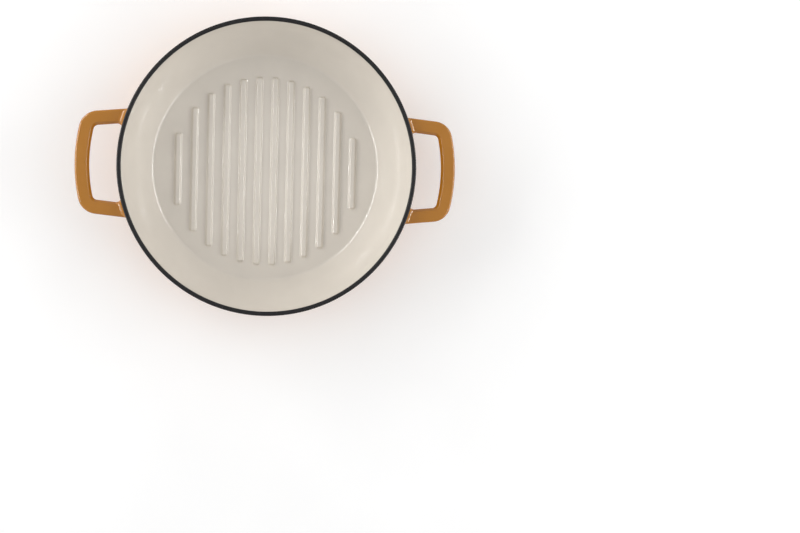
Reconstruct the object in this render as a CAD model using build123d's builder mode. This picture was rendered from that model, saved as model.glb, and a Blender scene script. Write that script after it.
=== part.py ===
from build123d import *

import os
from math import cos, hypot, radians, sin, sqrt, tan

# Round grill pan in enamelled cast iron with two loop handles, in millimetres.
# +Z is up, +X runs through the handles and the ribs lie along Y. The origin is the centre of the
# flat base, so the pan stands on Z = 0. One iron casting carries a cream coat inside, a coloured
# coat outside and a dark ground coat that stays bare round the rim. Each shape is drawn at its
# finished size, and drawn again taken in by the coat's thickness for the iron underneath.

# Enamel
COAT = 0.45
FINISHED = 0.0
IRON = COAT

# Bowl
RIM_RADIUS = 140.0
HEIGHT = 58.0
RIM_WIDTH = 3.9
RIM_ROUND = 1.3
RIM_BAND_HEIGHT = 1.6
WALL_FOOT_RADIUS = 112.9
WALL_FOOT_Z = 1.4
WALL_TOP_ANGLE = 85.0
PAD_RADIUS = 110.6
PAD_EDGE_ROUND = 2.6
FLOOR_Z = 5.2
FLOOR_RADIUS = 108.2
FLOOR_EDGE_ROUND = 4.0
INSIDE_TOP_ANGLE = 80.0

# Ribs
RIB_COUNT = 12
RIB_PITCH = 15.3
RIB_WIDTH = 6.2
RIB_HEIGHT = 2.4
RIB_DRAFT = 20.0
RIB_END_ROUND = 2.2
RIB_TOP_ROUND = 1.5
RIB_FOOT_ROUND = 1.8
RIB_FIELD_RADIUS = 91.0
RIB_FIELD_Y = -3.0

# Loop handles: the middle line of the bar's top face, and the bar's section
HANDLE_REACH = 178.5
HANDLE_START = 120.0
HANDLE_TOP_Z = 51.0
HANDLE_HEIGHT = 11.5
HANDLE_BAR = 14.2
HANDLE_OUTER_DRAFT = 4.0
HANDLE_INNER_DRAFT = 24.0
HANDLE_INNER_SLOPE = 3.0
HANDLE_INNER_DROP = 4.0
HANDLE_INNER_ROUND = 3.0
HANDLE_OUTER_TOP_ROUND = 2.2
HANDLE_INNER_TOP_ROUND = 1.5
HANDLE_OUTER_UNDER_ROUND = 3.0
HANDLE_INNER_UNDER_ROUND = 1.6
HANDLE_ROOT_ROUND = 5.0
HANDLE_BOW_RADIUS = 152.0
HANDLE_CORNER_ROUND = 11.0
ARM_X = 149.0
ARM_HALF_SPAN = 41.9
ARM_SPREAD = 5.8

# Hairline left where a handle meets the bowl, a touch of room for comparing positions, and how
# far a cut reaches past the part
HAIRLINE = 0.02
NEAR = 0.05
BEYOND = 1.0


def arc_through(foot, top, top_angle):
    """Centre and radius of the arc from foot to top that stands at top_angle degrees at its top."""
    inward = Vector(-sin(radians(top_angle)), cos(radians(top_angle)))
    chord = Vector(*foot) - Vector(*top)
    radius = chord.dot(chord) / (2 * chord.dot(inward))
    return Vector(*top) + inward * radius, radius


OUTER_CENTRE, OUTER_RADIUS = arc_through(
    (WALL_FOOT_RADIUS, WALL_FOOT_Z), (RIM_RADIUS, HEIGHT), WALL_TOP_ANGLE
)
INNER_CENTRE, INNER_RADIUS = arc_through(
    (FLOOR_RADIUS, FLOOR_Z), (RIM_RADIUS - RIM_WIDTH, HEIGHT), INSIDE_TOP_ANGLE
)


def on_arc(centre, radius, z):
    """Point of a wall's arc at height z."""
    return (centre.X + sqrt(radius**2 - (z - centre.Y) ** 2), z)


def bowl_outside(inset):
    """Solid inside the bowl's outer surface, without the handles."""
    radius = OUTER_RADIUS - inset
    pad_round = PAD_EDGE_ROUND - inset
    foot = on_arc(OUTER_CENTRE, radius, WALL_FOOT_Z)
    middle = on_arc(OUTER_CENTRE, radius, HEIGHT / 2)
    top = on_arc(OUTER_CENTRE, radius, HEIGHT - inset)
    with BuildPart() as outside:
        with BuildSketch(Plane.YZ):
            with BuildLine():
                ThreePointArc(foot, middle, top)
                Polyline(top, (0, HEIGHT - inset), (0, WALL_FOOT_Z), foot)
            make_face()
        revolve(axis=Axis.Z)
        with BuildSketch(Plane.YZ):
            with BuildLine():
                flat = Polyline((0, PAD_EDGE_ROUND), (0, inset), (PAD_RADIUS, inset))
                edge = JernArc(flat @ 1, (1, 0), pad_round, 90)
                Line(edge @ 1, flat @ 0)
            make_face()
        revolve(axis=Axis.Z)
    return outside.part


def bowl_inside(inset):
    """Solid that fills the bowl above its floor, without the ribs."""
    radius = INNER_RADIUS + inset
    floor_z = FLOOR_Z - inset
    foot = on_arc(INNER_CENTRE, radius, floor_z)
    middle = on_arc(INNER_CENTRE, radius, HEIGHT / 2)
    top = on_arc(INNER_CENTRE, radius, HEIGHT)
    with BuildPart() as inside:
        with BuildSketch(Plane.YZ) as section:
            with BuildLine():
                ThreePointArc(foot, middle, top)
                Polyline(top, (0, HEIGHT), (0, floor_z), foot)
            make_face()
            corner = section.vertices().sort_by_distance((foot[0], floor_z))[0]
            fillet(corner, FLOOR_EDGE_ROUND + inset)
        revolve(axis=Axis.Z)
    return inside.part


def ribs(inset):
    """The twelve ribs, which stand on the floor and end on a circle."""
    width = RIB_WIDTH - 2 * inset * tan(radians(45 - RIB_DRAFT / 2))
    taken_off = (RIB_WIDTH - width) / 2
    with BuildPart() as field:
        with BuildSketch(Plane.XY.offset(FLOOR_Z - inset)):
            for number in range(RIB_COUNT):
                x = (number - (RIB_COUNT - 1) / 2) * RIB_PITCH
                length = 2 * (sqrt(RIB_FIELD_RADIUS**2 - x**2) - taken_off)
                with Locations((x, RIB_FIELD_Y)):
                    RectangleRounded(width, length, RIB_END_ROUND)
        extrude(amount=RIB_HEIGHT, taper=RIB_DRAFT)
        fillet(field.edges().group_by(Axis.Z)[-1], RIB_TOP_ROUND - inset)
    return field.part


def arm_half_span(x):
    """Distance from the XZ plane to the middle line of an arm at x."""
    return ARM_HALF_SPAN + (ARM_X - x) * tan(radians(ARM_SPREAD))


def handle_line():
    """Middle line of the loop's top face: arm, corner, bowed bar, corner and arm."""
    bow_centre = HANDLE_REACH - HANDLE_BAR / 2 - HANDLE_BOW_RADIUS
    root_y = arm_half_span(HANDLE_START)
    end_y = arm_half_span(HANDLE_REACH)
    with BuildSketch(Plane.XY.offset(HANDLE_TOP_Z)) as outline:
        Polygon(
            (HANDLE_START, -root_y),
            (HANDLE_REACH, -end_y),
            (HANDLE_REACH, end_y),
            (HANDLE_START, root_y),
            align=None,
        )
        with Locations((bow_centre, 0)):
            Circle(HANDLE_BOW_RADIUS, mode=Mode.INTERSECT)
        fillet(outline.vertices().group_by(Axis.X)[-1], HANDLE_CORNER_ROUND)
    return Wire(outline.sketch.edges().sort_by(Axis.X)[1:])


def plain_handle(inset):
    """Loop handle on the +X side, without roundings at its roots, reaching into the wall."""
    half = HANDLE_BAR / 2
    outer_foot = half - HANDLE_HEIGHT * tan(radians(HANDLE_OUTER_DRAFT))
    inner_foot = HANDLE_HEIGHT * tan(radians(HANDLE_INNER_DRAFT)) - half
    root = (HANDLE_START, -arm_half_span(HANDLE_START), HANDLE_TOP_Z)
    along = (cos(radians(ARM_SPREAD)), sin(radians(ARM_SPREAD)), 0)
    with BuildPart() as handle:
        # Across the arm: the first direction points out of the loop and the second one down
        with BuildSketch(Plane(origin=root, x_dir=(0, -1, 0), z_dir=along)):
            with BuildLine():
                FilletPolyline(
                    (-half, HANDLE_INNER_DROP),
                    (HANDLE_INNER_SLOPE - half, 0),
                    (half, 0),
                    (outer_foot, HANDLE_HEIGHT),
                    (inner_foot, HANDLE_HEIGHT),
                    radius=(
                        HANDLE_INNER_ROUND,
                        HANDLE_INNER_TOP_ROUND,
                        HANDLE_OUTER_TOP_ROUND,
                        HANDLE_OUTER_UNDER_ROUND,
                        HANDLE_INNER_UNDER_ROUND,
                    ),
                    close=True,
                )
            make_face()
            if inset:
                offset(amount=-inset)
        sweep(path=handle_line())
    return handle.part


def handle(inset):
    """Loop handle on the +X side, outside the finished wall and rounded into it at its roots."""

    def on_outer_wall(edge):
        middle = edge @ 0.5
        across = hypot(middle.X, middle.Y) - OUTER_CENTRE.X
        return abs(hypot(across, middle.Z - OUTER_CENTRE.Y) - OUTER_RADIUS) < NEAR

    def beside_loop(edge):
        middle = edge @ 0.5
        below = HANDLE_TOP_Z - HANDLE_HEIGHT - HANDLE_ROOT_ROUND
        beside = abs(middle.Y) < ARM_HALF_SPAN + HANDLE_BAR
        return beside and below < middle.Z < HANDLE_TOP_Z + BEYOND

    with BuildPart() as loop:
        add(bowl_outside(FINISHED))
        add(plain_handle(inset))
        roots = loop.edges().filter_by(on_outer_wall).filter_by(beside_loop)
        fillet(roots, HANDLE_ROOT_ROUND)
        add(bowl_outside(FINISHED - HAIRLINE), mode=Mode.SUBTRACT)
    return loop.part


def handle_roots():
    """The two ends of the iron loop on the +X side, which pass through the wall's coat."""
    with BuildPart() as ends:
        add(plain_handle(IRON))
        add(bowl_outside(FINISHED - HAIRLINE), mode=Mode.INTERSECT)
        add(bowl_outside(IRON - HAIRLINE), mode=Mode.SUBTRACT)
    return ends.part


def bowl(inset):
    """Bowl and ribs, taken in by inset."""
    floor_z = FLOOR_Z - inset
    with BuildPart() as body:
        add(bowl_outside(inset))
        add(bowl_inside(inset), mode=Mode.SUBTRACT)
        fillet(body.edges().group_by(Axis.Z)[-1], RIM_ROUND - inset)
        add(ribs(inset))
        feet = body.edges().filter_by_position(Axis.Z, floor_z - NEAR, floor_z + NEAR)
        feet = feet.filter_by(lambda edge: hypot(edge.center().X, edge.center().Y) > NEAR)
        fillet(feet, RIB_FOOT_ROUND + inset)
    return body.part


def between(shape, low, high):
    """The part of a shape between two heights."""
    with BuildPart() as slice_of_shape:
        add(shape)
        split(bisect_by=Plane.XY.offset(low), keep=Keep.TOP)
        split(bisect_by=Plane.XY.offset(high), keep=Keep.BOTTOM)
    return slice_of_shape.part


def save(part, name):
    """Label a finished piece and write it."""
    part.label = name
    export_step(part, f"parts/{name}.step")


os.makedirs("parts", exist_ok=True)

band_foot = HEIGHT - RIM_BAND_HEIGHT
middle_of_wall = bowl_inside(RIM_WIDTH / 2)

# The iron, drawn as its bowl with the ribs and its two handles
iron_bowl = bowl(IRON)

with BuildPart() as iron_handle_right:
    add(handle(IRON))
    add(handle_roots())

iron_handle_left = mirror(iron_handle_right.part, about=Plane.YZ, mode=Mode.PRIVATE)

# The bowl's enamel, divided where its colour or the surface under it changes
with BuildPart() as bowl_enamel:
    add(bowl(FINISHED))
    add(iron_bowl, mode=Mode.SUBTRACT)

with BuildPart() as rim_ground_coat:
    add(between(bowl_enamel.part, band_foot, HEIGHT + BEYOND))

with BuildPart() as inner_enamel:
    add(between(bowl_enamel.part, -BEYOND, band_foot))
    add(middle_of_wall, mode=Mode.INTERSECT)

root_passage = plain_handle(IRON)

with BuildPart() as wall_enamel:
    add(between(bowl_enamel.part, WALL_FOOT_Z, band_foot))
    add(middle_of_wall, mode=Mode.SUBTRACT)
    add(root_passage, mode=Mode.SUBTRACT)
    add(mirror(root_passage, about=Plane.YZ, mode=Mode.PRIVATE), mode=Mode.SUBTRACT)

with BuildPart() as base_enamel:
    add(between(bowl_enamel.part, -BEYOND, WALL_FOOT_Z))

# The handles' enamel
with BuildPart() as handle_enamel_right:
    add(handle(FINISHED))
    add(iron_handle_right.part, mode=Mode.SUBTRACT)

handle_enamel_left = mirror(handle_enamel_right.part, about=Plane.YZ, mode=Mode.PRIVATE)

save(iron_bowl, "iron_bowl")
save(iron_handle_right.part, "iron_handle_right")
save(iron_handle_left, "iron_handle_left")
save(inner_enamel.part, "inner_enamel")
save(wall_enamel.part, "wall_enamel")
save(base_enamel.part, "base_enamel")
save(handle_enamel_right.part, "handle_enamel_right")
save(handle_enamel_left, "handle_enamel_left")
save(rim_ground_coat.part, "rim_ground_coat")
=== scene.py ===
from math import acos, asin, atan2, cos, hypot, pi, radians, sin, sqrt, tan

import bmesh
import bpy
from mathutils import Matrix, Vector, noise


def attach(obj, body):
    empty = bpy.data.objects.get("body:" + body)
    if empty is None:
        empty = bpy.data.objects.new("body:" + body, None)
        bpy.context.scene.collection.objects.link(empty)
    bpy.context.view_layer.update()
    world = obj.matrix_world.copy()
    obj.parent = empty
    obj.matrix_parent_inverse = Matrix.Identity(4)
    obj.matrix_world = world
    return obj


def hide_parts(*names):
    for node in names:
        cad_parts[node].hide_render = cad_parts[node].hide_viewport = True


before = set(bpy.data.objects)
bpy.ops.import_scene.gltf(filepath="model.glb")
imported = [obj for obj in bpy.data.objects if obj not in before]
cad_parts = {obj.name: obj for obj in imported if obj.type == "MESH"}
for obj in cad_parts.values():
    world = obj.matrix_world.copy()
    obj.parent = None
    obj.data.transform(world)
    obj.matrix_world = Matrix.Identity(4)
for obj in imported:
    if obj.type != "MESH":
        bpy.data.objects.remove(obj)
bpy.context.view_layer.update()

# Round grill pan in enamelled cast iron. +Z is up, +X runs through the loop handles, the ribs lie
# along Y and the pan stands on Z = 0. Lengths are in metres, written as millimetres times MM.
MM = 0.001

# Enamel
COAT = 0.45 * MM

# Bowl
RIM_RADIUS = 140.0 * MM
HEIGHT = 58.0 * MM
RIM_WIDTH = 3.9 * MM
RIM_ROUND = 1.3 * MM
RIM_BAND_HEIGHT = 1.6 * MM
WALL_FOOT_RADIUS = 112.9 * MM
WALL_FOOT_Z = 1.4 * MM
WALL_TOP_ANGLE = 85.0
PAD_RADIUS = 110.6 * MM
PAD_EDGE_ROUND = 2.6 * MM
PAD_CREASE_ROUND = 0.7 * MM
FLOOR_Z = 5.2 * MM
FLOOR_RADIUS = 108.2 * MM
FLOOR_EDGE_ROUND = 4.0 * MM
INSIDE_TOP_ANGLE = 80.0
BAND_FOOT_Z = HEIGHT - RIM_BAND_HEIGHT

# Ribs
RIB_COUNT = 12
RIB_PITCH = 15.3 * MM
RIB_WIDTH = 6.2 * MM
RIB_HEIGHT = 2.4 * MM
RIB_DRAFT = 20.0
RIB_END_ROUND = 2.2 * MM
RIB_TOP_ROUND = 1.5 * MM
RIB_FOOT_ROUND = 1.8 * MM
RIB_FIELD_RADIUS = 91.0 * MM
RIB_FIELD_Y = -3.0 * MM

# Loop handles: the middle line of the bar's top face, and the bar's section
HANDLE_REACH = 178.5 * MM
HANDLE_START = 120.0 * MM
HANDLE_TOP_Z = 51.0 * MM
HANDLE_HEIGHT = 11.5 * MM
HANDLE_BAR = 14.2 * MM
HANDLE_OUTER_DRAFT = 4.0
HANDLE_INNER_DRAFT = 24.0
HANDLE_INNER_SLOPE = 3.0 * MM
HANDLE_INNER_DROP = 4.0 * MM
HANDLE_INNER_ROUND = 3.0 * MM
HANDLE_OUTER_TOP_ROUND = 2.2 * MM
HANDLE_INNER_TOP_ROUND = 1.5 * MM
HANDLE_OUTER_UNDER_ROUND = 3.0 * MM
HANDLE_INNER_UNDER_ROUND = 1.6 * MM
HANDLE_ROOT_ROUND = 5.0 * MM
HANDLE_BOW_RADIUS = 152.0 * MM
HANDLE_CORNER_ROUND = 11.0 * MM
ARM_X = 149.0 * MM
ARM_HALF_SPAN = 41.9 * MM
ARM_SPREAD = 5.8

# Mesh steps
ROUND_STEPS = 6
SECTION_STEPS = ROUND_STEPS + 2
ROOT_STEPS = ROUND_STEPS + 4
BEND_STEPS = 2 * ROUND_STEPS
TURN_STEPS = 320
WALL_STEPS = 48
BAND_SIDE_STEPS = 2
HALVINGS = 40

# Where the meshes overlap or leave a margin
UNDER_BAND = 0.4 * MM
FLOOR_MARGIN = 0.4 * MM
RIB_MARGIN = 0.15 * MM
PAD_RING_SHARES = (0.25, 0.5, 0.75, 0.95, 0.995)

# Colours, as linear light, and the depth over which a coat darkens towards the band
MUSTARD_LOW = (0.405, 0.160, 0.011)
MUSTARD_HIGH = (0.425, 0.171, 0.015)
MUSTARD_EDGE = (0.12, 0.055, 0.02)
MUSTARD_EDGE_DEPTH = 0.5 * MM
MUSTARD_SPECULAR = 0.42
CREAM_LOW = (0.71, 0.659, 0.588)
CREAM_HIGH = (0.74, 0.688, 0.614)
CREAM_EDGE = (0.22, 0.2, 0.17)
CREAM_EDGE_DEPTH = 0.4 * MM
GROUND_LOW = (0.006, 0.006, 0.007)
GROUND_HIGH = (0.013, 0.012, 0.013)
GROUND_SPECULAR = 0.2
IRON_LOW = (0.05, 0.05, 0.052)
IRON_HIGH = (0.1, 0.1, 0.105)
IRON_METALLIC = 0.6

# Bump layers: features per metre, depth and detail
MUSTARD_BUMP = ((45, 0.10 * MM, 1.0), (420, 0.006 * MM, 2.0))
CREAM_BUMP = ((40, 0.045 * MM, 1.0), (380, 0.005 * MM, 2.0))
GROUND_BUMP = ((900, 0.02 * MM, 3.0),)
IRON_BUMP = ((1500, 0.05 * MM, 3.0),)

# Stretch of a noise that carries a tone or a gloss from low to high
NOISE_LOW = 0.3
NOISE_MIDDLE_LOW = 0.35
NOISE_MIDDLE_HIGH = 0.68
NOISE_HIGH = 0.7

# Camera
CAMERA_PLACE = Vector((-0.0619, -0.0367, 1.4666))
CAMERA_AIM = Vector((0.1265, -0.0908, 0.0580))
CAMERA_ROLL = 1.43
CAMERA_LENS = 67.5
CAMERA_REACH = 20


def arc_through(foot, top, top_angle):
    """Centre and radius of the arc from foot to top that stands at top_angle degrees at its top."""
    inward = Vector((-sin(radians(top_angle)), cos(radians(top_angle))))
    chord = Vector(foot) - Vector(top)
    radius = chord.dot(chord) / (2 * chord.dot(inward))
    return Vector(top) + inward * radius, radius


OUTER_CENTRE, OUTER_RADIUS = arc_through(
    (WALL_FOOT_RADIUS, WALL_FOOT_Z), (RIM_RADIUS, HEIGHT), WALL_TOP_ANGLE
)
INNER_CENTRE, INNER_RADIUS = arc_through(
    (FLOOR_RADIUS, FLOOR_Z), (RIM_RADIUS - RIM_WIDTH, HEIGHT), INSIDE_TOP_ANGLE
)


def polar(centre, radius, angle):
    """Point of a circle at an angle in radians."""
    return Vector((centre[0] + radius * cos(angle), centre[1] + radius * sin(angle)))


def arc(centre, radius, start, end, steps):
    """Points of an arc between two angles in radians, ends included."""
    return [polar(centre, radius, start + (end - start) * k / steps) for k in range(steps + 1)]


def wall_angle(centre, radius, z):
    """Angle at which a wall's arc passes height z."""
    return asin((z - centre[1]) / radius)


def rounded_corner(before, corner, after, radius, steps):
    """Points of the arc that rounds a corner between two straight sides."""
    into = (Vector(before) - Vector(corner)).normalized()
    out = (Vector(after) - Vector(corner)).normalized()
    half_turn = acos(max(-1, min(1, into.dot(out)))) / 2
    centre = Vector(corner) + (into + out).normalized() * (radius / sin(half_turn))
    start = Vector(corner) + into * (radius / tan(half_turn)) - centre
    end = Vector(corner) + out * (radius / tan(half_turn)) - centre
    first = atan2(start.y, start.x)
    turn = (atan2(end.y, end.x) - first + pi) % (2 * pi) - pi
    return arc(centre, radius, first, first + turn, steps)


def new_object(name, bm, materials):
    """Object with smooth faces made from a bmesh."""
    bmesh.ops.recalc_face_normals(bm, faces=bm.faces)
    mesh = bpy.data.meshes.new(name)
    bm.to_mesh(mesh)
    bm.free()
    mesh.shade_smooth()
    for material in materials:
        mesh.materials.append(material)
    piece = bpy.data.objects.new(name, mesh)
    bpy.context.scene.collection.objects.link(piece)
    return piece


def ring_of(bm, points):
    """Vertices at the given points."""
    return [bm.verts.new(point) for point in points]


def bridge(bm, first, second):
    """Faces between two closed rings with the same number of vertices."""
    count = len(first)
    for k in range(count):
        following = (k + 1) % count
        bm.faces.new((first[k], first[following], second[following], second[k]))


def turned_ring(radius, z, count=TURN_STEPS):
    """Points of a level circle round the pan's axis."""
    angles = [2 * pi * k / count for k in range(count)]
    return [(radius * cos(angle), radius * sin(angle), z) for angle in angles]


# Materials


def node_material(name):
    """Empty node material with its tree and shader."""
    material = bpy.data.materials.new(name)
    material.use_nodes = True
    tree = material.node_tree
    shader = tree.nodes["Principled BSDF"]
    return material, tree, shader


def noise_node(tree, scale, detail=2.0):
    """Noise over the object's own coordinates, in features per metre."""
    place = tree.nodes.new("ShaderNodeTexCoord")
    pattern = tree.nodes.new("ShaderNodeTexNoise")
    pattern.inputs["Scale"].default_value = scale
    pattern.inputs["Detail"].default_value = detail
    tree.links.new(place.outputs["Object"], pattern.inputs["Vector"])
    return pattern.outputs["Fac"]


def ramp(tree, value, low, high):
    """Colour ramp from low to high, each a pair of position and colour."""
    node = tree.nodes.new("ShaderNodeValToRGB")
    node.color_ramp.elements[0].position = low[0]
    node.color_ramp.elements[0].color = (*low[1], 1)
    node.color_ramp.elements[1].position = high[0]
    node.color_ramp.elements[1].color = (*high[1], 1)
    tree.links.new(value, node.inputs["Fac"])
    return node.outputs["Color"]


def remap(tree, value, from_low, from_high, to_low, to_high):
    """Value carried from one range to another."""
    node = tree.nodes.new("ShaderNodeMapRange")
    node.inputs["From Min"].default_value = from_low
    node.inputs["From Max"].default_value = from_high
    node.inputs["To Min"].default_value = to_low
    node.inputs["To Max"].default_value = to_high
    tree.links.new(value, node.inputs["Value"])
    return node.outputs["Result"]


def add_gloss(tree, shader, scale, low, high):
    """Roughness that wanders between two values."""
    gloss = remap(tree, noise_node(tree, scale), NOISE_LOW, NOISE_HIGH, low, high)
    tree.links.new(gloss, shader.inputs["Roughness"])


def add_bump(tree, shader, layers):
    """Bump from several noises: each layer is features per metre, depth in metres and detail."""
    normal = None
    for scale, depth, detail in layers:
        bump = tree.nodes.new("ShaderNodeBump")
        bump.inputs["Distance"].default_value = depth
        tree.links.new(noise_node(tree, scale, detail), bump.inputs["Height"])
        if normal:
            tree.links.new(normal, bump.inputs["Normal"])
        normal = bump.outputs["Normal"]
    tree.links.new(normal, shader.inputs["Normal"])


def height_mix(tree, colour, other, low_z, high_z):
    """Colour that turns into another between two heights."""
    place = tree.nodes.new("ShaderNodeTexCoord")
    split = tree.nodes.new("ShaderNodeSeparateXYZ")
    tree.links.new(place.outputs["Object"], split.inputs["Vector"])
    share = remap(tree, split.outputs["Z"], low_z, high_z, 0.0, 1.0)
    mix = tree.nodes.new("ShaderNodeMix")
    mix.data_type = "RGBA"
    tree.links.new(share, mix.inputs["Factor"])
    tree.links.new(colour, mix.inputs[6])
    mix.inputs[7].default_value = (*other, 1)
    return mix.outputs[2]


def mustard_enamel():
    """Glossy mustard enamel, a little uneven in tone and thinner just under the dark band."""
    material, tree, shader = node_material("mustard_enamel")
    pattern = noise_node(tree, 38, detail=3)
    tone = ramp(tree, pattern, (NOISE_MIDDLE_LOW, MUSTARD_LOW), (NOISE_MIDDLE_HIGH, MUSTARD_HIGH))
    edge = height_mix(tree, tone, MUSTARD_EDGE, BAND_FOOT_Z - MUSTARD_EDGE_DEPTH, BAND_FOOT_Z)
    tree.links.new(edge, shader.inputs["Base Color"])
    shader.inputs["Specular IOR Level"].default_value = MUSTARD_SPECULAR
    add_gloss(tree, shader, scale=60, low=0.13, high=0.17)
    add_bump(tree, shader, MUSTARD_BUMP)
    return material


def cream_enamel():
    """Glossy cream enamel inside, thinner just under the dark band."""
    material, tree, shader = node_material("cream_enamel")
    pattern = noise_node(tree, 30, detail=3)
    tone = ramp(tree, pattern, (NOISE_MIDDLE_LOW, CREAM_LOW), (NOISE_MIDDLE_HIGH, CREAM_HIGH))
    edge = height_mix(tree, tone, CREAM_EDGE, BAND_FOOT_Z - CREAM_EDGE_DEPTH, BAND_FOOT_Z)
    tree.links.new(edge, shader.inputs["Base Color"])
    add_gloss(tree, shader, scale=55, low=0.10, high=0.15)
    add_bump(tree, shader, CREAM_BUMP)
    return material


def ground_coat():
    """Satin near-black ground coat on the rim."""
    material, tree, shader = node_material("ground_coat")
    pattern = noise_node(tree, 260, detail=3)
    tone = ramp(tree, pattern, (NOISE_MIDDLE_LOW, GROUND_LOW), (NOISE_HIGH, GROUND_HIGH))
    tree.links.new(tone, shader.inputs["Base Color"])
    shader.inputs["Specular IOR Level"].default_value = GROUND_SPECULAR
    add_gloss(tree, shader, scale=700, low=0.34, high=0.5)
    add_bump(tree, shader, GROUND_BUMP)
    return material


def cast_iron():
    """Bare cast iron, which lies under the enamel."""
    material, tree, shader = node_material("cast_iron")
    pattern = noise_node(tree, 500, detail=4)
    tone = ramp(tree, pattern, (NOISE_LOW, IRON_LOW), (NOISE_HIGH, IRON_HIGH))
    tree.links.new(tone, shader.inputs["Base Color"])
    shader.inputs["Metallic"].default_value = IRON_METALLIC
    add_gloss(tree, shader, scale=800, low=0.5, high=0.7)
    add_bump(tree, shader, IRON_BUMP)
    return material


MUSTARD = mustard_enamel()
CREAM = cream_enamel()
GROUND = ground_coat()
IRON = cast_iron()

for node in ("iron_bowl", "iron_handle_right", "iron_handle_left"):
    for material_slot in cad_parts[node].material_slots:
        material_slot.material = IRON


# Outside of the bowl


def outside_section():
    """Half section of the outer coat, from the axis under the base to the band and back inside it."""
    pad_centre = (PAD_RADIUS, PAD_EDGE_ROUND)
    wall_foot = wall_angle(OUTER_CENTRE, OUTER_RADIUS, WALL_FOOT_Z)
    crease = polar(OUTER_CENTRE, OUTER_RADIUS, wall_foot)
    pad_end = atan2(crease.y - PAD_EDGE_ROUND, crease.x - PAD_RADIUS)
    ease = PAD_CREASE_ROUND
    pad = arc(pad_centre, PAD_EDGE_ROUND, -pi / 2, pad_end - ease / PAD_EDGE_ROUND, ROUND_STEPS)
    wall_top = wall_angle(OUTER_CENTRE, OUTER_RADIUS, BAND_FOOT_Z + UNDER_BAND)
    wall = arc(OUTER_CENTRE, OUTER_RADIUS, wall_foot + ease / OUTER_RADIUS, wall_top, WALL_STEPS)
    soft = []
    for k in range(1, ROUND_STEPS):
        share = k / ROUND_STEPS
        soft.append(
            pad[-1] * (1 - share) ** 2 + crease * 2 * share * (1 - share) + wall[0] * share**2
        )
    iron_radius = OUTER_RADIUS - COAT
    iron_foot = wall_angle(OUTER_CENTRE, iron_radius, WALL_FOOT_Z + COAT)
    iron_wall = arc(OUTER_CENTRE, iron_radius, wall_top, iron_foot, WALL_STEPS)
    iron_pad = arc(pad_centre, PAD_EDGE_ROUND - COAT, pad_end, -pi / 2, ROUND_STEPS)
    flat = [Vector((PAD_RADIUS * share, 0)) for share in PAD_RING_SHARES]
    iron_flat = [Vector((point.x, COAT)) for point in reversed(flat)]
    return flat + pad + soft + wall + iron_wall + iron_pad + iron_flat


def turned(name, section, materials):
    """Closed solid of revolution: the section starts and ends near the axis and is capped there."""
    bm = bmesh.new()
    rings = [ring_of(bm, turned_ring(point.x, point.y)) for point in section]
    for first, second in zip(rings, rings[1:]):
        bridge(bm, first, second)
    bm.faces.new(rings[0])
    bm.faces.new(rings[-1])
    return new_object(name, bm, materials)


outer_coat = turned("outer_coat", outside_section(), [MUSTARD])
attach(outer_coat, "root")
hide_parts("wall_enamel", "base_enamel")


# Inside of the bowl


def inside_wall_section(inset):
    """Half section of the bowl's inside, from the floor's edge to the band, moved out by inset."""
    floor_z = FLOOR_Z - inset
    radius = INNER_RADIUS + inset
    round_radius = FLOOR_EDGE_ROUND + inset
    reach = radius - round_radius
    round_centre_z = floor_z + round_radius
    round_centre = Vector(
        (INNER_CENTRE.x + sqrt(reach**2 - (round_centre_z - INNER_CENTRE.y) ** 2), round_centre_z)
    )
    meeting = atan2(round_centre.y - INNER_CENTRE.y, round_centre.x - INNER_CENTRE.x)
    corner = arc(round_centre, round_radius, -pi / 2, meeting, BEND_STEPS)
    top = wall_angle(INNER_CENTRE, radius, BAND_FOOT_Z + UNDER_BAND)
    wall = arc(INNER_CENTRE, radius, meeting, top, WALL_STEPS)
    return corner + wall[1:]


def rounded_box_ring(x, y, width, length, radius, z):
    """Points of a level rectangle with rounded corners."""
    points = []
    for quarter, (side_x, side_y) in enumerate(((1, 1), (-1, 1), (-1, -1), (1, -1))):
        centre = (x + side_x * (width / 2 - radius), y + side_y * (length / 2 - radius))
        start = quarter * pi / 2
        points += [(*point, z) for point in arc(centre, radius, start, start + pi / 2, ROUND_STEPS)]
    return points


def rib_profile():
    """Steps of a rib's side from the floor to its top, as (offset outwards, height) pairs."""
    slope = radians(90 - RIB_DRAFT)
    foot_reach = RIB_FOOT_ROUND * tan(slope / 2)
    top_reach = RIB_TOP_ROUND * tan(slope / 2)
    top_edge = -RIB_HEIGHT * tan(radians(RIB_DRAFT))
    steps = [(foot_reach + RIB_MARGIN, 0.0)]
    for k in range(ROUND_STEPS + 1):
        turn = slope * k / ROUND_STEPS
        steps.append(
            (foot_reach - RIB_FOOT_ROUND * sin(turn), RIB_FOOT_ROUND * (1 - cos(turn)))
        )
    for k in range(ROUND_STEPS + 1):
        turn = slope * (1 - k / ROUND_STEPS)
        steps.append(
            (
                top_edge - top_reach + RIB_TOP_ROUND * sin(turn),
                RIB_HEIGHT - RIB_TOP_ROUND * (1 - cos(turn)),
            )
        )
    steps.append((top_edge - top_reach - RIB_MARGIN, RIB_HEIGHT))
    return steps


def add_rib(bm, number):
    """One rib standing on the floor; returns its lowest ring."""
    x = (number - (RIB_COUNT - 1) / 2) * RIB_PITCH
    length = 2 * sqrt(RIB_FIELD_RADIUS**2 - x**2)
    rings = []
    for offset, height in rib_profile():
        points = rounded_box_ring(
            x,
            RIB_FIELD_Y,
            RIB_WIDTH + 2 * offset,
            length + 2 * offset,
            RIB_END_ROUND + offset,
            FLOOR_Z + height,
        )
        rings.append(ring_of(bm, points))
    for first, second in zip(rings, rings[1:]):
        bridge(bm, first, second)
    bm.faces.new(rings[-1])
    return rings[0]


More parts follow.
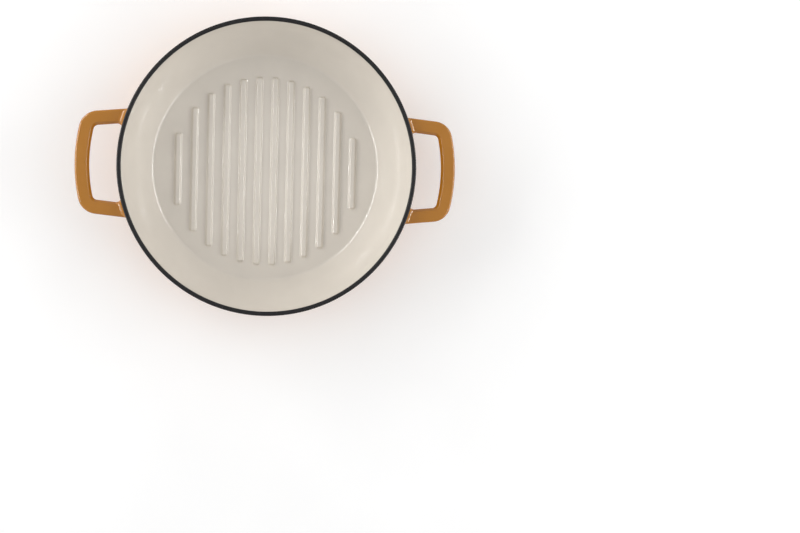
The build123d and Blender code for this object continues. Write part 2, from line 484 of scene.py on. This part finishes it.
def make_inside():
    """Cream coat over the floor, the ribs and the inner wall."""
    bm = bmesh.new()
    wall = inside_wall_section(0)
    back = inside_wall_section(COAT)
    margin = Vector((wall[0].x - FLOOR_MARGIN, FLOOR_Z))
    section = [margin] + wall + list(reversed(back))
    rings = [ring_of(bm, turned_ring(point.x, point.y)) for point in section]
    for first, second in zip(rings, rings[1:]):
        bridge(bm, first, second)
    bm.faces.new(rings[-1])
    floor_edges = set()
    for outline in [rings[0]] + [add_rib(bm, number) for number in range(RIB_COUNT)]:
        for k, vertex in enumerate(outline):
            floor_edges.add(bm.edges.get((vertex, outline[(k + 1) % len(outline)])))
    bmesh.ops.triangle_fill(bm, edges=list(floor_edges), use_beauty=True, normal=(0, 0, 1))
    return new_object("inner_coat", bm, [CREAM])


inner_coat = make_inside()
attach(inner_coat, "root")
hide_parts("inner_enamel")


# Dark band round the rim

BAND_PROUD = 0.015 * MM
BAND_WANDER = 0.22 * MM
BAND_WAVES = 9
OUTER_BAND_SEED = Vector((0, 0, 3.1))
INNER_BAND_SEED = Vector((0, 0, 7.7))


def band_section(angle):
    """Section of the band at an angle round the pan: its two feet wander as if wiped by hand."""
    outer_radius = OUTER_RADIUS + BAND_PROUD
    inner_radius = INNER_RADIUS - BAND_PROUD
    around = Vector((cos(angle), sin(angle), 0)) * BAND_WAVES
    outer_foot = BAND_FOOT_Z + BAND_WANDER * noise.noise(around + OUTER_BAND_SEED)
    inner_foot = BAND_FOOT_Z + BAND_WANDER * noise.noise(around + INNER_BAND_SEED)
    round_z = HEIGHT - RIM_ROUND
    rise = round_z - OUTER_CENTRE.y
    outer_x = OUTER_CENTRE.x + sqrt((OUTER_RADIUS - RIM_ROUND) ** 2 - rise**2)
    outer_meeting = atan2(rise, outer_x - OUTER_CENTRE.x)
    rise = round_z - INNER_CENTRE.y
    inner_x = INNER_CENTRE.x + sqrt((INNER_RADIUS + RIM_ROUND) ** 2 - rise**2)
    inner_meeting = atan2(rise, inner_x - INNER_CENTRE.x)
    outer_foot_angle = wall_angle(OUTER_CENTRE, outer_radius, outer_foot)
    inner_foot_angle = wall_angle(INNER_CENTRE, inner_radius, inner_foot)
    points = arc(OUTER_CENTRE, outer_radius, outer_foot_angle, outer_meeting, BAND_SIDE_STEPS)
    points += arc((outer_x, round_z), RIM_ROUND, outer_meeting, pi / 2, ROUND_STEPS)
    points += arc((inner_x, round_z), RIM_ROUND, pi / 2, pi + inner_meeting, ROUND_STEPS)
    points += arc(INNER_CENTRE, inner_radius, inner_meeting, inner_foot_angle, BAND_SIDE_STEPS)
    points.append(polar(INNER_CENTRE, INNER_RADIUS + COAT, inner_foot_angle))
    points.append(Vector(((outer_x + inner_x) / 2, HEIGHT - COAT)))
    points.append(polar(OUTER_CENTRE, OUTER_RADIUS - COAT, outer_foot_angle))
    return points


def make_band():
    """Dark ground coat over the rim's top, a closed ring."""
    bm = bmesh.new()
    sections = []
    for k in range(TURN_STEPS):
        angle = 2 * pi * k / TURN_STEPS
        points = [(p.x * cos(angle), p.x * sin(angle), p.y) for p in band_section(angle)]
        sections.append(ring_of(bm, points))
    for k, section in enumerate(sections):
        bridge(bm, section, sections[(k + 1) % TURN_STEPS])
    return new_object("rim_band", bm, [GROUND])


rim_band = make_band()
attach(rim_band, "root")
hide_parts("rim_ground_coat")


# Loop handles


def bar_section(outward):
    """Closed section of the bar, moved outwards, as points (out of the loop, down)."""
    half = HANDLE_BAR / 2
    outer_foot = half - HANDLE_HEIGHT * tan(radians(HANDLE_OUTER_DRAFT))
    inner_foot = HANDLE_HEIGHT * tan(radians(HANDLE_INNER_DRAFT)) - half
    corners = [
        ((-half, HANDLE_INNER_DROP), HANDLE_INNER_ROUND),
        ((HANDLE_INNER_SLOPE - half, 0), HANDLE_INNER_TOP_ROUND),
        ((half, 0), HANDLE_OUTER_TOP_ROUND),
        ((outer_foot, HANDLE_HEIGHT), HANDLE_OUTER_UNDER_ROUND),
        ((inner_foot, HANDLE_HEIGHT), HANDLE_INNER_UNDER_ROUND),
    ]
    points = []
    for k, (corner, radius) in enumerate(corners):
        before = corners[k - 1][0]
        after = corners[(k + 1) % len(corners)][0]
        rounded = rounded_corner(before, corner, after, radius, SECTION_STEPS)
        into = (Vector(before) - Vector(corner)).normalized()
        out = (Vector(after) - Vector(corner)).normalized()
        half_turn = acos(into.dot(out)) / 2
        centre = Vector(corner) + (into + out).normalized() * (radius / sin(half_turn))
        points += [point + (point - centre).normalized() * outward for point in rounded]
    return points


def arm_half_span(x):
    """Distance from the XZ plane to the middle line of an arm at x."""
    return ARM_HALF_SPAN + (ARM_X - x) * tan(radians(ARM_SPREAD))


ROOT_DEPTH = 0.3 * MM
ARM_ROOT = Vector((HANDLE_START, -arm_half_span(HANDLE_START)))
ARM_ALONG = Vector((cos(radians(ARM_SPREAD)), sin(radians(ARM_SPREAD))))


def half_line():
    """Middle line of the loop from the arm's end to the middle of the bar, as (point, direction)."""
    bow_centre = Vector((HANDLE_REACH - HANDLE_BAR / 2 - HANDLE_BOW_RADIUS, 0))
    inward = Vector((-ARM_ALONG.y, ARM_ALONG.x))
    start = ARM_ROOT + inward * HANDLE_CORNER_ROUND - bow_centre
    reach = HANDLE_BOW_RADIUS - HANDLE_CORNER_ROUND
    along = -start.dot(ARM_ALONG) + sqrt(start.dot(ARM_ALONG) ** 2 - start.dot(start) + reach**2)
    corner_centre = bow_centre + start + ARM_ALONG * along
    first = atan2(-inward.y, -inward.x)
    last = atan2(corner_centre.y - bow_centre.y, corner_centre.x - bow_centre.x)
    line = []
    for k in range(BEND_STEPS + 1):
        angle = first + (last - first) * k / BEND_STEPS
        line.append((polar(corner_centre, HANDLE_CORNER_ROUND, angle), angle))
    for k in range(1, BEND_STEPS + 1):
        angle = last * (1 - k / BEND_STEPS)
        line.append((polar(bow_centre, HANDLE_BOW_RADIUS, angle), angle))
    return line


def wall_distance(point):
    """How far a point stands out from the bowl's outer surface."""
    across = hypot(point.x, point.y) - OUTER_CENTRE.x
    return hypot(across, point.z - OUTER_CENTRE.y) - OUTER_RADIUS


def on_arm(offset, along):
    """Point of the arm's surface: offset is (out of the loop, down) and along runs from its start."""
    out = Vector((ARM_ALONG.y, -ARM_ALONG.x))
    flat = ARM_ROOT + out * offset.x + ARM_ALONG * along
    return Vector((flat.x, flat.y, HANDLE_TOP_Z - offset.y))


def arm_point_at(offset, distance):
    """Point of the arm's surface that stands out from the wall by distance."""
    low = 0.0
    high = HANDLE_REACH - HANDLE_START
    for _ in range(HALVINGS):
        middle = (low + high) / 2
        if wall_distance(on_arm(offset, middle)) < distance:
            low = middle
        else:
            high = middle
    return on_arm(offset, middle)


def wall_normal(point):
    """Direction in which the bowl's outer surface faces next to a point."""
    from_axis = hypot(point.x, point.y)
    across = from_axis - OUTER_CENTRE.x
    facing = Vector(
        (across * point.x / from_axis, across * point.y / from_axis, point.z - OUTER_CENTRE.y)
    )
    return facing.normalized()


def root_rings():
    """Rings of the arm's root, from inside the wall to where the arm runs straight.

    A ball that touches the arm and the wall rolls round the arm and leaves the rounding.
    """
    rings = [[] for _ in range(ROOT_STEPS + 2)]
    for near, far in zip(bar_section(0), bar_section(HANDLE_ROOT_ROUND)):
        centre = arm_point_at(far, HANDLE_ROOT_ROUND)
        on_bar = on_arm(near, 0) - on_arm(far, 0)
        on_wall = wall_normal(centre) * -HANDLE_ROOT_ROUND
        turn = on_wall.angle(on_bar)
        rings[0].append(centre + on_wall * (1 + ROOT_DEPTH / HANDLE_ROOT_ROUND))
        for k in range(ROOT_STEPS + 1):
            share = k / ROOT_STEPS
            leg = on_wall * sin(turn * (1 - share)) + on_bar * sin(turn * share)
            rings[k + 1].append(centre + leg / sin(turn))
    return rings


def make_handle(name, side):
    """Loop handle on one side of the bowl: side is 1 for +X and -1 for -X."""
    half = root_rings()
    for point, angle in half_line():
        out = Vector((cos(angle), sin(angle)))
        ring = []
        for offset in bar_section(0):
            flat = point + out * offset.x
            ring.append(Vector((flat.x, flat.y, HANDLE_TOP_Z - offset.y)))
        half.append(ring)
    other = [[Vector((p.x, -p.y, p.z)) for p in ring] for ring in reversed(half[:-1])]
    bm = bmesh.new()
    rings = []
    for ring in half + other:
        rings.append(ring_of(bm, [(side * p.x, p.y, p.z) for p in ring]))
    for first, second in zip(rings, rings[1:]):
        bridge(bm, first, second)
    bm.faces.new(rings[0])
    bm.faces.new(rings[-1])
    handle = new_object(name, bm, [MUSTARD])
    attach(handle, "root")
    return handle


handle_right = make_handle("handle_coat_right", 1)
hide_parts("handle_enamel_right")
handle_left = make_handle("handle_coat_left", -1)
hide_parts("handle_enamel_left")


# Floor, lights and camera

FLOOR_SIZE = 3.0
FLOOR_GAP = 0.2 * MM
FLOOR_CONTACT = 2.0 * MM
FLOOR_LOW = (0.9, 0.9, 0.9)
FLOOR_HIGH = (0.93, 0.93, 0.93)
FLOOR_GLOW = 0.12
FLOOR_FAR_GLOW = 0.48
FLOOR_NEAR = 0.7
FLOOR_FAR = 2.2
FLOOR_NOISE = 8
FLOOR_ROUGHNESS = 0.7
WORLD_LIGHT = 0.58


def seen_strength(tree, unseen, seen):
    """Strength that differs for the camera, reflections and clear materials."""
    path = tree.nodes.new("ShaderNodeLightPath")
    share = path.outputs["Is Camera Ray"]
    for ray in ("Is Glossy Ray", "Is Transmission Ray"):
        either = tree.nodes.new("ShaderNodeMath")
        either.operation = "MAXIMUM"
        tree.links.new(share, either.inputs[0])
        tree.links.new(path.outputs[ray], either.inputs[1])
        share = either.outputs[0]
    return remap(tree, share, 0, 1, unseen, seen)


def floor_material():
    """Pale matte floor, whiter far from the pan and clear from below, so that the base shows."""
    material, tree, shader = node_material("floor_white")
    tone = ramp(tree, noise_node(tree, FLOOR_NOISE), (NOISE_LOW, FLOOR_LOW), (NOISE_HIGH, FLOOR_HIGH))
    tree.links.new(tone, shader.inputs["Base Color"])
    shader.inputs["Roughness"].default_value = FLOOR_ROUGHNESS
    geometry = tree.nodes.new("ShaderNodeNewGeometry")
    path = tree.nodes.new("ShaderNodeLightPath")
    close = tree.nodes.new("ShaderNodeMath")
    close.operation = "LESS_THAN"
    close.inputs[1].default_value = FLOOR_CONTACT
    tree.links.new(path.outputs["Ray Length"], close.inputs[0])
    through = tree.nodes.new("ShaderNodeMath")
    through.operation = "MAXIMUM"
    tree.links.new(geometry.outputs["Backfacing"], through.inputs[0])
    tree.links.new(close.outputs[0], through.inputs[1])
    place = tree.nodes.new("ShaderNodeTexCoord")
    away = tree.nodes.new("ShaderNodeVectorMath")
    away.operation = "LENGTH"
    tree.links.new(place.outputs["Object"], away.inputs[0])
    glow_here = remap(
        tree, away.outputs["Value"], FLOOR_NEAR, FLOOR_FAR, FLOOR_GLOW, FLOOR_FAR_GLOW
    )
    shown = tree.nodes.new("ShaderNodeMath")
    shown.operation = "MULTIPLY"
    tree.links.new(seen_strength(tree, 0.0, 1.0), shown.inputs[0])
    tree.links.new(glow_here, shown.inputs[1])
    glow = tree.nodes.new("ShaderNodeEmission")
    tree.links.new(shown.outputs[0], glow.inputs["Strength"])
    lit = tree.nodes.new("ShaderNodeAddShader")
    tree.links.new(shader.outputs[0], lit.inputs[0])
    tree.links.new(glow.outputs[0], lit.inputs[1])
    clear = tree.nodes.new("ShaderNodeBsdfTransparent")
    mix = tree.nodes.new("ShaderNodeMixShader")
    tree.links.new(through.outputs[0], mix.inputs[0])
    tree.links.new(lit.outputs[0], mix.inputs[1])
    tree.links.new(clear.outputs[0], mix.inputs[2])
    tree.links.new(mix.outputs[0], tree.nodes["Material Output"].inputs["Surface"])
    return material


def make_floor():
    """Large level floor a hair under the pan, with its front side up."""
    corners = [(-1, -1), (1, -1), (1, 1), (-1, 1)]
    mesh = bpy.data.meshes.new("floor")
    places = [(x * FLOOR_SIZE, y * FLOOR_SIZE, -FLOOR_GAP) for x, y in corners]
    mesh.from_pydata(places, [], [(0, 1, 2, 3)])
    mesh.materials.append(floor_material())
    floor = bpy.data.objects.new("floor", mesh)
    bpy.context.scene.collection.objects.link(floor)
    return floor


make_floor()


def strip_light(name, place, width, height, power):
    """Wide soft lamp that points at the pan."""
    data = bpy.data.lights.new(name, "AREA")
    data.shape = "RECTANGLE"
    data.size = width
    data.size_y = height
    data.energy = power
    lamp = bpy.data.objects.new(name, data)
    lamp.location = place
    lamp.rotation_mode = "QUATERNION"
    lamp.rotation_quaternion = (Vector((0, 0, HEIGHT)) - Vector(place)).to_track_quat("-Z", "Y")
    bpy.context.scene.collection.objects.link(lamp)
    return lamp


strip_light("key", place=(-1.5, 0.45, 0.66), width=2.4, height=0.9, power=22)
strip_light("fill", place=(1.6, -0.05, 0.74), width=2.2, height=0.9, power=15)

# Two thin lamps that light nothing by themselves and only draw bright lines in the glaze
for glint_lamp in (
    strip_light("key_glint", place=(-1.5, 0.35, 0.95), width=2.4, height=0.12, power=36),
    strip_light("fill_glint", place=(1.6, -0.05, 0.95), width=2.2, height=0.12, power=34),
):
    glint_lamp.visible_diffuse = False


def make_world():
    """Even pale surroundings, white to the camera and in reflections."""
    world = bpy.data.worlds.new("studio")
    bpy.context.scene.world = world
    world.use_nodes = True
    tree = world.node_tree
    background = tree.nodes["Background"]
    background.inputs["Color"].default_value = (1, 1, 1, 1)
    tree.links.new(seen_strength(tree, WORLD_LIGHT, 1.0), background.inputs["Strength"])


make_world()


def make_camera():
    """Camera nearly above the pan, which stands up and to the left in its view."""
    data = bpy.data.cameras.new("camera")
    data.lens = CAMERA_LENS
    data.clip_end = CAMERA_REACH
    camera = bpy.data.objects.new("camera", data)
    ahead = (CAMERA_AIM - CAMERA_PLACE).normalized()
    roll = radians(CAMERA_ROLL)
    right = ahead.cross(Vector((-sin(roll), cos(roll), 0))).normalized()
    up = right.cross(ahead)
    turn = Matrix((right, up, -ahead)).transposed()
    camera.matrix_world = Matrix.Translation(CAMERA_PLACE) @ turn.to_4x4()
    bpy.context.scene.collection.objects.link(camera)
    bpy.context.scene.camera = camera


make_camera()
bpy.context.scene.view_settings.view_transform = "Standard"
